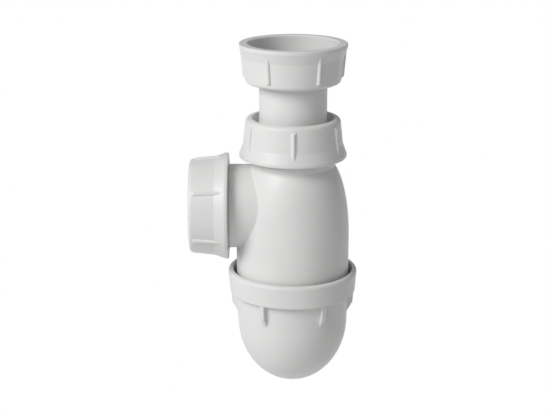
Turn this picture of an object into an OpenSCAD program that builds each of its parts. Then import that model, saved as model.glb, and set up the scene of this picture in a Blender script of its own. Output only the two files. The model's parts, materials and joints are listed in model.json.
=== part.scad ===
// Telescopic bottle trap for a wash basin, in moulded white plastic.
// The origin is the centre of the inlet washer's upper face, where the basin waste seats.
// +Z is up, towards the basin, and the outlet points along -X, towards the wall.

/* [Inlet tube] */
// Outside diameter of the sliding tube, and of the waste pipe that the outlet takes
tube_d = 32; // [31:0.1:33]
// Wall thickness of the tube
tube_wall = 2; // [1.6:0.1:2.4]
// Length of the tube below its flange
tube_length = 112; // [100:1:116]
// Thickness of the tube's flange
tube_flange_t = 2.4; // [2:0.1:3]
// Radial clearance between the tube's flange and the nut around it
flange_clearance = 0.4; // [0.3:0.05:0.6]
// Tube length that shows between the inlet nut and the neck nut
tube_exposed = 16.7; // [16.4:0.1:30]

/* [Union threads] */
// Diameter that the union threads have over the tube's, at their crest
thread_over_tube = 9.9; // [9.7:0.1:11]
// Depth of the union threads
thread_depth = 1.48; // [1.2:0.02:1.6]
// Radial clearance between a spigot thread's crest and the nut
thread_clearance = 0.15; // [0.1:0.05:0.3]
// Length of thread in the inlet nut above the washer
inlet_thread_h = 10; // [8:0.2:12]
// Height of the neck above the shoulder
neck_h = 12.4; // [11:0.2:15]
// Radius that a spigot's plain band has over its thread root
band_step = 0.5; // [0.4:0.1:1.2]

/* [Nuts] */
// Height of the neck nut, and length of the outlet nut
nut_h = 18.6; // [17:0.2:19.4]
// Wall thickness of a nut at its closed end, outside the thread
nut_wall = 1.4; // [1.2:0.1:2]
// Extra radius that the nut's wall gains towards its open end
nut_taper = 1.1; // [0.6:0.1:1.4]
// Width of the flared lip outside the closed end's radius
nut_lip_w = 2.9; // [2.4:0.1:3.2]
// Height of the lip's upright face
nut_lip_h = 2; // [1.6:0.1:3]
// Height of the cone under the lip
nut_flare_h = 4.4; // [3:0.1:5]
// Thickness of the web that closes a nut
nut_web = 2.2; // [1.8:0.1:2.8]
// Depth of the recess at the closed end of the neck and outlet nuts
nut_recess = 4.2; // [3:0.1:5]
// Depth of the recess at the closed end of the inlet nut
inlet_recess = 1.4; // [0.8:0.1:2.4]
// Clearance between a nut's web and the pipe through it
web_clearance = 0.6; // [0.4:0.1:1]
// Number of grip ribs on each nut
nut_ribs = 6; // [4:1:8]
// Width of a grip rib
nut_rib_w = 2; // [1.8:0.1:2.4]
// Height of a grip rib above the nut's wall
nut_rib_h = 0.9; // [0.5:0.05:1]
// Rounding of the closed end's outer edge
nut_edge_r = 2; // [1:0.1:2.2]

/* [Seals] */
// Thickness of the flat inlet washer
washer_t = 2.6; // [2:0.1:3.2]
// Thickness of a slip ring
slip_ring_t = 1.6; // [1.2:0.1:2]
// Height of a compression seal's straight head
seal_head_h = 2.6; // [2:0.1:3.2]
// Height of a compression seal's tapered nose
seal_nose_h = 3.2; // [2.6:0.1:4]
// Radius that the nose loses over its height
seal_taper = 1.6; // [1.2:0.1:1.7]
// Radial clearance of the neck seal on the tube
seal_clearance = 0.05; // [0.03:0.01:0.1]
// Radial clearance of the outlet seal on the pipe that goes in
pipe_seal_clearance = 0.2; // [0.15:0.01:0.25]
// Thickness of the cup's flat seal
cup_seal_t = 2.4; // [2:0.1:3]

/* [Body] */
// Outside diameter of the body's straight part
body_d = 54; // [53:0.2:55]
// Wall thickness of the moulded shells
shell = 2.2; // [1.8:0.1:2.4]
// Half width of the ellipse that draws the shoulder
shoulder_in = 12; // [11:0.2:12.6]
// Half height of the ellipse that draws the shoulder
shoulder_h = 38; // [34:0.5:42]
// Length of the straight part below the shoulder
skirt_h = 23; // [21:0.5:30]
// Length of the dip tube below the body's lower edge
dip_below = 28; // [20:0.5:34]
// Wall thickness of the dip tube
dip_wall = 1.8; // [1.4:0.1:2]
// Length of the dip tube that is held in the neck, above the shoulder's top
dip_grip = 2.6; // [2:0.1:3.4]
// Radial clearance of the dip tube in the neck
dip_clearance = 0.05; // [0.02:0.01:0.1]
// Radial clearance between the tube and the dip tube around it
guide_clearance = 0.3; // [0.2:0.05:0.4]

/* [Outlet] */
// Drop from the neck's end to the outlet's axis
outlet_drop = 32.7; // [31:0.1:34]
// Radial clearance of that pipe in its socket
socket_clearance = 0.4; // [0.3:0.05:0.5]
// Distance from the trap's axis to the end of the outlet spigot
outlet_reach = 38.6; // [38:0.1:46]
// Radius of the waterway behind the socket
waterway_r = 14.2; // [12:0.1:15]

/* [Cup] */
// Radial room between the body and the collar's bore, which the thread fills
collar_room = 1.8; // [1.5:0.1:2.2]
// Wall thickness of the collar
collar_wall = 2.2; // [1.9:0.1:3]
// Height of the collar above the body's lower edge
collar_overlap = 6.4; // [5:0.2:10]
// Outer diameter of the cup's wall under the collar
cup_d = 54.2; // [53.6:0.1:54.6]
// Radius that the cup's wall loses down to the dome
cup_draft = 0.6; // [0.3:0.1:1]
// Height of the cup's wall between the collar and the dome
cup_wall_h = 14.3; // [12:0.1:24]
// Height of the dome
dome_h = 31.8; // [30:0.1:40]
// Number of grip ribs on the cup
cup_ribs = 6; // [4:1:8]
// Width of a cup rib
cup_rib_w = 2; // [1.4:0.1:2.6]
// Straight height of a cup rib below the collar
cup_rib_h = 6.6; // [4:0.2:8]
// Height over which a cup rib runs out into the wall
cup_rib_run = 7; // [5:0.2:8]
// Edge rounding of the collar
collar_edge_r = 1.4; // [0.8:0.1:1.5]

/* [Hidden] */

$fn = 96;
cut = 1;
edge = 0.5;
arc_steps = 6;
curve_steps = 20;

// Radii along the inlet tube
tube_r = tube_d / 2;
tube_bore_r = tube_r - tube_wall;
web_hole_r = tube_r + web_clearance;
socket_r = tube_r + socket_clearance;
guide_r = tube_r + guide_clearance;
dip_r = guide_r + dip_wall;

// Radii of the union threads and nuts
thread_r = (tube_d + thread_over_tube) / 2;
spigot_r = thread_r - thread_depth;
nut_bore_r = thread_r + thread_clearance;
pocket_r = spigot_r + thread_clearance;
tube_flange_r = pocket_r - flange_clearance;
nut_end_r = nut_bore_r + nut_wall;
lip_r = nut_end_r + nut_lip_w;
rib_step = 360 / nut_ribs;
ring_gap = 0.3;
band_gap = 0.6;
ring_r = spigot_r - ring_gap;
seal_rim = 0.85;
seal_r = spigot_r - seal_rim;
seat_gap = 0.05;

// Heights, from the inlet washer's upper face down
flange_top = -washer_t;
flange_bottom = flange_top - tube_flange_t;
inlet_nut_bottom = flange_bottom - nut_web - inlet_recess;
inlet_nut_h = inlet_thread_h - inlet_nut_bottom;
neck_nut_top = inlet_nut_bottom - tube_exposed;
neck_ring_top = neck_nut_top - nut_recess - nut_web;
neck_seal_top = neck_ring_top - slip_ring_t;
neck_top = neck_seal_top - seal_head_h;
neck_bottom = neck_top - neck_h;
neck_band_z = neck_nut_top - nut_h - band_gap;
tube_bottom = flange_top - tube_length;

// The shoulder is an ellipse that meets the neck at the plain band's radius
band_r = spigot_r + band_step;
body_r = body_d / 2;
ellipse_r = body_r - shoulder_in;
neck_angle = acos((band_r - ellipse_r) / shoulder_in);
shoulder_foot = neck_bottom - shoulder_h * sin(neck_angle);
skirt_bottom = shoulder_foot - skirt_h;
dip_bottom = skirt_bottom - dip_below;
dip_top = neck_bottom + dip_grip;
dip_socket_r = dip_r + dip_clearance;
hollow_gap = 1.2;
inner_in = shoulder_in - shell;
inner_h = shoulder_h - shell;
hollow_angle = acos((dip_r + hollow_gap - ellipse_r) / inner_in);
hollow_top = shoulder_foot + inner_h * sin(hollow_angle);

// Outlet, measured along -X from the trap's axis
outlet_z = neck_top - outlet_drop;
outlet_ring_x = outlet_reach + seal_head_h;
outlet_web_x = outlet_ring_x + slip_ring_t;
outlet_nut_end = outlet_web_x + nut_web + nut_recess;
shell_inner_r = body_r - shell;
socket_stop = shell_inner_r;

// Cup
collar_bore_r = body_r + collar_room;
collar_r = collar_bore_r + collar_wall;
collar_top = skirt_bottom + collar_overlap;
ledge_z = skirt_bottom - cup_seal_t;
collar_bottom = ledge_z - shell;
cup_r = cup_d / 2;
dome_r = cup_r - cup_draft;
dome_z = collar_bottom - cup_wall_h;
cup_inner_r = cup_r - shell;
collar_draft = 0.7;

// Points on part of an ellipse, from one angle to another
function ellipse_points(centre, a, b, from, to, steps) =
    [for (i = [0:steps]) let (t = from + (to - from) * i / steps)
        [centre[0] + a * cos(t), centre[1] + b * sin(t)]];

function arc_points(centre, r, from, to) = ellipse_points(centre, r, r, from, to, arc_steps);

// A flat ring, from its lower face up
module ring(outer_r, inner_r, h) {
    difference() {
        cylinder(r = outer_r, h = h);
        translate([0, 0, -cut]) cylinder(r = inner_r, h = h + 2 * cut);
    }
}

// Outer wall of a nut at a height above its closed end
function nut_wall_r(h, height) =
    nut_end_r + nut_taper * h / (height - nut_lip_h - nut_flare_h);

// Half section of a nut's outside, closed end down, with its flared lip at the top
module nut_outline(height) {
    lip_z = height - nut_lip_h;
    flare_z = lip_z - nut_flare_h;
    polygon(concat(
        [[0, 0]],
        arc_points([nut_end_r - nut_edge_r, nut_edge_r], nut_edge_r, -90, 0),
        [[nut_wall_r(flare_z, height), flare_z]],
        arc_points([lip_r - edge, lip_z + edge], edge, -45, 0),
        arc_points([lip_r - edge, height - edge], edge, 0, 90),
        [[0, height]]
    ));
}

// Half section of the space that the grip ribs may fill
module rib_outline(height) {
    polygon([
        [spigot_r, nut_edge_r],
        [nut_end_r, nut_edge_r],
        [lip_r, nut_edge_r + nut_lip_w],
        [lip_r, height - nut_lip_h],
        [spigot_r, height - nut_lip_h],
    ]);
}

// A round grip rib that leans out with the nut's wall
module nut_rib(height) {
    lean = atan(nut_taper / (height - nut_lip_h - nut_flare_h));
    translate([nut_end_r + nut_rib_h - nut_rib_w / 2, 0, 0])
        rotate([0, lean, 0])
            cylinder(d = nut_rib_w, h = height);
}

// A union nut with its closed end down at z = 0; its web starts at recess, and a plain pocket
// of the thread's inner radius lies between the web and the thread
module union_nut(height, recess, pocket, first_rib) {
    lead = nut_bore_r + edge;
    pocket_z = recess + nut_web;
    difference() {
        union() {
            rotate_extrude() nut_outline(height);
            intersection() {
                rotate_extrude() rib_outline(height);
                for (i = [0:nut_ribs - 1])
                    rotate([0, 0, first_rib + i * rib_step])
                        nut_rib(height);
            }
        }
        translate([0, 0, -cut]) cylinder(r = web_hole_r, h = height);
        translate([0, 0, -cut]) cylinder(r = spigot_r, h = recess + cut);
        translate([0, 0, pocket_z]) cylinder(r = pocket_r, h = height);
        translate([0, 0, pocket_z + pocket]) cylinder(r = nut_bore_r, h = height);
        translate([0, 0, height - edge]) cylinder(r1 = nut_bore_r, r2 = lead, h = edge);
        translate([0, 0, height]) cylinder(r = lead, h = cut);
    }
}

// A compression seal, head up, with its nose ending at z = 0
module compression_seal(inner_r) {
    nose_r = seal_r - seal_taper;
    rotate_extrude() polygon([
        [inner_r, 0],
        [nose_r, 0],
        [seal_r, seal_nose_h],
        [seal_r, seal_nose_h + seal_head_h],
        [inner_r, seal_nose_h + seal_head_h],
    ]);
}

// The seat that a seal's nose presses into, from its floor up to the spigot's end
module seal_seat() {
    nose_r = seal_r - seal_taper;
    cylinder(r1 = nose_r + seat_gap, r2 = seal_r + seat_gap, h = seal_nose_h);
    translate([0, 0, seal_nose_h]) cylinder(r = seal_r + seat_gap, h = cut);
}

// Turns a piece that is drawn along +Z so that it points along -X at the outlet's height
module at_outlet(x) {
    translate([-x, 0, outlet_z]) rotate([0, -90, 0]) children();
}

module inlet_nut() {
    color("WhiteSmoke")
        translate([0, 0, inlet_nut_bottom])
            union_nut(inlet_nut_h, inlet_recess, washer_t + tube_flange_t, 0);
}

module inlet_washer() {
    color("DimGray")
        translate([0, 0, flange_top])
            ring(tube_flange_r, tube_bore_r, washer_t);
}

module inlet_tube() {
    lead_in = tube_wall / 2;
    color("WhiteSmoke")
        rotate_extrude() polygon([
            [tube_bore_r, tube_bottom],
            [tube_r - lead_in, tube_bottom],
            [tube_r, tube_bottom + 2 * lead_in],
            [tube_r, flange_bottom],
            [tube_flange_r, flange_bottom],
            [tube_flange_r, flange_top],
            [tube_bore_r + lead_in, flange_top],
            [tube_bore_r, flange_top - lead_in],
        ]);
}

module neck_nut() {
    color("WhiteSmoke")
        translate([0, 0, neck_nut_top])
            mirror([0, 0, 1])
                union_nut(nut_h, nut_recess, slip_ring_t, rib_step / 2);
}

module neck_slip_ring() {
    color("Gainsboro")
        translate([0, 0, neck_seal_top])
            ring(ring_r, tube_r + ring_gap, slip_ring_t);
}

module neck_seal() {
    color("DimGray")
        translate([0, 0, neck_top - seal_nose_h])
            compression_seal(tube_r + seal_clearance);
}

// Outside of the shoulder, the straight part and the neck
module body_outline() {
    polygon(concat(
        [[0, neck_top], [spigot_r, neck_top], [spigot_r, neck_band_z], [band_r, neck_band_z]],
        ellipse_points([ellipse_r, shoulder_foot], shoulder_in, shoulder_h,
            neck_angle, 0, curve_steps),
        [[body_r, skirt_bottom], [0, skirt_bottom]]
    ));
}

// The hollow under the neck, with the socket that holds the dip tube at its top
module body_hollow() {
    polygon(concat(
        [[0, dip_top], [dip_socket_r, dip_top], [dip_socket_r, hollow_top]],
        ellipse_points([ellipse_r, shoulder_foot], inner_in, inner_h,
            hollow_angle, 0, curve_steps),
        [[shell_inner_r, skirt_bottom - cut], [0, skirt_bottom - cut]]
    ));
}

module body() {
    band_x = outlet_nut_end - nut_h - band_gap;
    color("WhiteSmoke")
        difference() {
            union() {
                rotate_extrude() body_outline();
                at_outlet(0) cylinder(r = band_r, h = band_x);
                at_outlet(0) cylinder(r = spigot_r, h = outlet_reach);
            }
            rotate_extrude() body_hollow();
            translate([0, 0, dip_top - cut])
                cylinder(r = guide_r, h = neck_top - dip_top + 2 * cut);
            translate([0, 0, neck_top - seal_nose_h]) seal_seat();
            at_outlet(outlet_reach - seal_nose_h) seal_seat();
            at_outlet(socket_stop)
                cylinder(r = socket_r, h = outlet_reach - socket_stop + cut);
            at_outlet(dip_r) cylinder(r = waterway_r, h = shell_inner_r);
        }
}

module dip_tube() {
    color("WhiteSmoke")
        translate([0, 0, dip_bottom])
            ring(dip_r, guide_r, dip_top - dip_bottom);
}

module outlet_nut() {
    color("WhiteSmoke")
        at_outlet(outlet_nut_end)
            mirror([0, 0, 1])
                union_nut(nut_h, nut_recess, slip_ring_t, 0);
}

module outlet_slip_ring() {
    color("Gainsboro")
        at_outlet(outlet_ring_x)
            ring(ring_r, tube_r + ring_gap, slip_ring_t);
}

module outlet_seal() {
    color("DimGray")
        at_outlet(outlet_reach - seal_nose_h)
            compression_seal(tube_r + pipe_seal_clearance);
}

// Outside of the cup, with its collar and dome
module cup_outline() {
    polygon(concat(
        [[0, collar_top]],
        [[collar_bore_r, collar_top]],
        arc_points([collar_r - collar_edge_r, collar_top - collar_edge_r], collar_edge_r, 90, 0),
        arc_points([collar_r - collar_draft - edge, collar_bottom + edge], edge, 0, -90),
        [[cup_r, collar_bottom]],
        ellipse_points([0, dome_z], dome_r, dome_h, 0, -90, curve_steps)
    ));
}

module cup_hollow() {
    polygon(concat(
        [[0, collar_top + cut], [collar_bore_r, collar_top + cut]],
        [[collar_bore_r, ledge_z], [cup_inner_r, ledge_z]],
        ellipse_points([0, dome_z], dome_r - shell, dome_h - shell, 0, -90, curve_steps)
    ));
}

// Half section of the cup's ribs, under the collar and running out into the wall
module cup_rib_outline() {
    rib_r = collar_r - collar_draft - edge;
    polygon([
        [cup_inner_r, collar_bottom + edge],
        [rib_r, collar_bottom + edge],
        [rib_r - edge, collar_bottom - cup_rib_h],
        [dome_r - shell / 2, collar_bottom - cup_rib_h - cup_rib_run],
        [cup_inner_r, collar_bottom - cup_rib_h - cup_rib_run],
    ]);
}

module cup() {
    color("WhiteSmoke")
        difference() {
            union() {
                rotate_extrude() cup_outline();
                intersection() {
                    rotate_extrude() cup_rib_outline();
                    for (i = [0:cup_ribs - 1])
                        rotate([0, 0, (i + 0.5) * 360 / cup_ribs - 90])
                            translate([0, -cup_rib_w / 2, dome_z])
                                cube([collar_r, cup_rib_w, cup_wall_h + collar_r]);
                }
            }
            rotate_extrude() cup_hollow();
        }
}

module cup_seal() {
    color("DimGray")
        translate([0, 0, ledge_z])
            ring(collar_bore_r - ring_gap, cup_inner_r, cup_seal_t);
}

inlet_nut();
inlet_washer();
inlet_tube();
neck_nut();
neck_slip_ring();
neck_seal();
body();
dip_tube();
outlet_nut();
outlet_slip_ring();
outlet_seal();
cup();
cup_seal();
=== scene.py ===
import json
import math

import bpy
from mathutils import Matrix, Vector

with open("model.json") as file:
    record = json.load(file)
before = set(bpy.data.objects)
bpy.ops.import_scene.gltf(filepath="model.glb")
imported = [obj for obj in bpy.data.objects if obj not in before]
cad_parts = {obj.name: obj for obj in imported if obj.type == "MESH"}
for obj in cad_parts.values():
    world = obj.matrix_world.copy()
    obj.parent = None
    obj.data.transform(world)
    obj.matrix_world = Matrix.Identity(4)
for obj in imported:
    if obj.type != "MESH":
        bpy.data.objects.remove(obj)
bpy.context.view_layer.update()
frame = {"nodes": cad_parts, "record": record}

MM = 0.001

# Moulded surfaces: how fine the colour, the gloss and the grain vary, and how much
CLOUD_SCALE = 55.0
CLOUD_DETAIL = 3.0
CLOUD_LOW = 0.35
CLOUD_HIGH = 0.65
GLOSS_SCALE = 140.0
GLOSS_SPREAD = 0.05
GRAIN_DETAIL = 4.0
GRAIN_STRENGTH = 0.35
SUBSURFACE_DEPTH = 1.5 * MM
SURFACE_IOR = 1.49

# The photograph's camera: distance, pitch and lens worked out from the ellipses of the rims
IMAGE_WIDTH = 550
FOCAL_PIXELS = 1382
SENSOR_WIDTH = 36
CAMERA_DISTANCE = 0.662
CAMERA_PITCH = math.radians(16.4)
CAMERA_TARGET = Vector((-8.5 * MM, 0, -68.85 * MM))
CLIP_NEAR = 0.01
CLIP_FAR = 50

# The floor lies well below the trap, which the photograph shows on plain white
FLOOR_Z = -0.32
FLOOR_SIZE = 12
FLOOR_CLOUD_SCALE = 3.0
FLOOR_DARK = (0.88, 0.88, 0.88, 1)
FLOOR_LIGHT = (0.9, 0.9, 0.9, 1)
FLOOR_ROUGHNESS = 0.9
BACKGROUND_WHITE = (1, 1, 1, 1)
BACKGROUND_STRENGTH = 1.0

# Light on the object: the sky's strength, and one soft box from the upper left
SKY_STRENGTH = 0.28
KEY_PLACE = (-0.9, -0.75, 0.75)
KEY_AIM = (0, 0, -0.07)
KEY_SIZE = 0.7
KEY_POWER = 13.0


def link(tree, a, a_socket, b, b_socket):
    tree.links.new(a.outputs[a_socket], b.inputs[b_socket])


def new_material(name):
    material = bpy.data.materials.new(name)
    material.use_nodes = True
    tree = material.node_tree
    return material, tree, tree.nodes["Principled BSDF"]


def noise(tree, coordinates, scale, detail=2.0):
    node = tree.nodes.new("ShaderNodeTexNoise")
    node.inputs["Scale"].default_value = scale
    node.inputs["Detail"].default_value = detail
    link(tree, coordinates, "Object", node, "Vector")
    return node


def map_range(tree, source, low, high):
    node = tree.nodes.new("ShaderNodeMapRange")
    node.inputs["To Min"].default_value = low
    node.inputs["To Max"].default_value = high
    link(tree, source, "Fac", node, "Value")
    return node


def moulded_material(name, light, dark, roughness, grain_scale, grain_depth, subsurface):
    """Moulded plastic or rubber: cloudy colour, uneven gloss and a fine grain from the mould."""
    material, tree, shader = new_material(name)
    coordinates = tree.nodes.new("ShaderNodeTexCoord")
    cloud = noise(tree, coordinates, CLOUD_SCALE, CLOUD_DETAIL)
    ramp = tree.nodes.new("ShaderNodeValToRGB")
    ramp.color_ramp.elements[0].position = CLOUD_LOW
    ramp.color_ramp.elements[0].color = (*dark, 1)
    ramp.color_ramp.elements[1].position = CLOUD_HIGH
    ramp.color_ramp.elements[1].color = (*light, 1)
    link(tree, cloud, "Fac", ramp, "Fac")
    link(tree, ramp, "Color", shader, "Base Color")
    patches = noise(tree, coordinates, GLOSS_SCALE)
    gloss = map_range(tree, patches, roughness - GLOSS_SPREAD, roughness + GLOSS_SPREAD)
    link(tree, gloss, "Result", shader, "Roughness")
    grain = noise(tree, coordinates, grain_scale, GRAIN_DETAIL)
    bump = tree.nodes.new("ShaderNodeBump")
    bump.inputs["Strength"].default_value = GRAIN_STRENGTH
    bump.inputs["Distance"].default_value = grain_depth
    link(tree, grain, "Fac", bump, "Height")
    link(tree, bump, "Normal", shader, "Normal")
    shader.inputs["Subsurface Weight"].default_value = subsurface
    shader.inputs["Subsurface Scale"].default_value = SUBSURFACE_DEPTH
    shader.inputs["IOR"].default_value = SURFACE_IOR
    return material


MATERIALS = {
    "white_plastic": moulded_material(
        "white_plastic", light=(0.85, 0.85, 0.84), dark=(0.82, 0.82, 0.81), roughness=0.42,
        grain_scale=900.0, grain_depth=0.08 * MM, subsurface=0.1),
    "ring_plastic": moulded_material(
        "ring_plastic", light=(0.78, 0.78, 0.76), dark=(0.72, 0.72, 0.7), roughness=0.5,
        grain_scale=900.0, grain_depth=0.08 * MM, subsurface=0.1),
    "seal_rubber": moulded_material(
        "seal_rubber", light=(0.03, 0.03, 0.03), dark=(0.02, 0.02, 0.02), roughness=0.65,
        grain_scale=1400.0, grain_depth=0.1 * MM, subsurface=0.0),
}


def dress_nodes():
    """Gives every CAD node the material of its slot in the record."""
    slots = {row["node"]: row["material_slot"] for row in frame["record"]["subparts"]}
    for name, node in frame["nodes"].items():
        node.data.materials.clear()
        node.data.materials.append(MATERIALS[slots[name]])


def stage_material():
    """Plain white for the camera and for reflections, and a pale matt floor for every other ray."""
    material, tree, shader = new_material("floor_white")
    output = tree.nodes["Material Output"]
    coordinates = tree.nodes.new("ShaderNodeTexCoord")
    cloud = noise(tree, coordinates, FLOOR_CLOUD_SCALE)
    tint = tree.nodes.new("ShaderNodeValToRGB")
    tint.color_ramp.elements[0].color = FLOOR_DARK
    tint.color_ramp.elements[1].color = FLOOR_LIGHT
    link(tree, cloud, "Fac", tint, "Fac")
    link(tree, tint, "Color", shader, "Base Color")
    shader.inputs["Roughness"].default_value = FLOOR_ROUGHNESS
    glow = tree.nodes.new("ShaderNodeEmission")
    glow.inputs["Color"].default_value = BACKGROUND_WHITE
    glow.inputs["Strength"].default_value = BACKGROUND_STRENGTH
    rays = tree.nodes.new("ShaderNodeLightPath")
    share = tree.nodes.new("ShaderNodeMath")
    share.operation = "MAXIMUM"
    link(tree, rays, "Is Camera Ray", share, 0)
    link(tree, rays, "Is Glossy Ray", share, 1)
    mix = tree.nodes.new("ShaderNodeMixShader")
    link(tree, share, "Value", mix, "Fac")
    link(tree, shader, "BSDF", mix, 1)
    link(tree, glow, "Emission", mix, 2)
    link(tree, mix, "Shader", output, "Surface")
    return material


def make_floor():
    half = FLOOR_SIZE / 2
    mesh = bpy.data.meshes.new("floor")
    corners = [(x, y, FLOOR_Z) for x, y in ((-half, -half), (half, -half), (half, half), (-half, half))]
    mesh.from_pydata(corners, [], [(0, 1, 2, 3)])
    floor = bpy.data.objects.new("floor", mesh)
    floor.data.materials.append(stage_material())
    bpy.context.scene.collection.objects.link(floor)


def make_world():
    """Soft light from all round, seen by the camera as white."""
    world = bpy.data.worlds.new("studio")
    bpy.context.scene.world = world
    world.use_nodes = True
    tree = world.node_tree
    plain = tree.nodes["Background"]
    plain.inputs["Color"].default_value = BACKGROUND_WHITE
    plain.inputs["Strength"].default_value = SKY_STRENGTH
    white = tree.nodes.new("ShaderNodeBackground")
    white.inputs["Color"].default_value = BACKGROUND_WHITE
    white.inputs["Strength"].default_value = BACKGROUND_STRENGTH
    rays = tree.nodes.new("ShaderNodeLightPath")
    mix = tree.nodes.new("ShaderNodeMixShader")
    link(tree, rays, "Is Camera Ray", mix, "Fac")
    link(tree, plain, "Background", mix, 1)
    link(tree, white, "Background", mix, 2)
    link(tree, mix, "Shader", tree.nodes["World Output"], "Surface")


def area_light(name, place, aim, size, power):
    """A square soft box at place, turned to aim."""
    data = bpy.data.lights.new(name, "AREA")
    data.size = size
    data.energy = power
    lamp = bpy.data.objects.new(name, data)
    lamp.location = place
    lamp.rotation_mode = "QUATERNION"
    lamp.rotation_quaternion = (Vector(aim) - Vector(place)).to_track_quat("-Z", "Y")
    bpy.context.scene.collection.objects.link(lamp)


def make_camera():
    data = bpy.data.cameras.new("camera")
    data.sensor_width = SENSOR_WIDTH
    data.lens = SENSOR_WIDTH * FOCAL_PIXELS / IMAGE_WIDTH
    camera = bpy.data.objects.new("camera", data)
    back = Vector((0, -math.cos(CAMERA_PITCH), math.sin(CAMERA_PITCH)))
    camera.location = CAMERA_TARGET + CAMERA_DISTANCE * back
    camera.rotation_mode = "QUATERNION"
    camera.rotation_quaternion = (-back).to_track_quat("-Z", "Y")
    data.clip_start = CLIP_NEAR
    data.clip_end = CLIP_FAR
    bpy.context.scene.collection.objects.link(camera)
    bpy.context.scene.camera = camera


dress_nodes()
make_floor()
make_world()
area_light("key", KEY_PLACE, KEY_AIM, KEY_SIZE, KEY_POWER)
make_camera()
bpy.context.scene.view_settings.view_transform = "Standard"
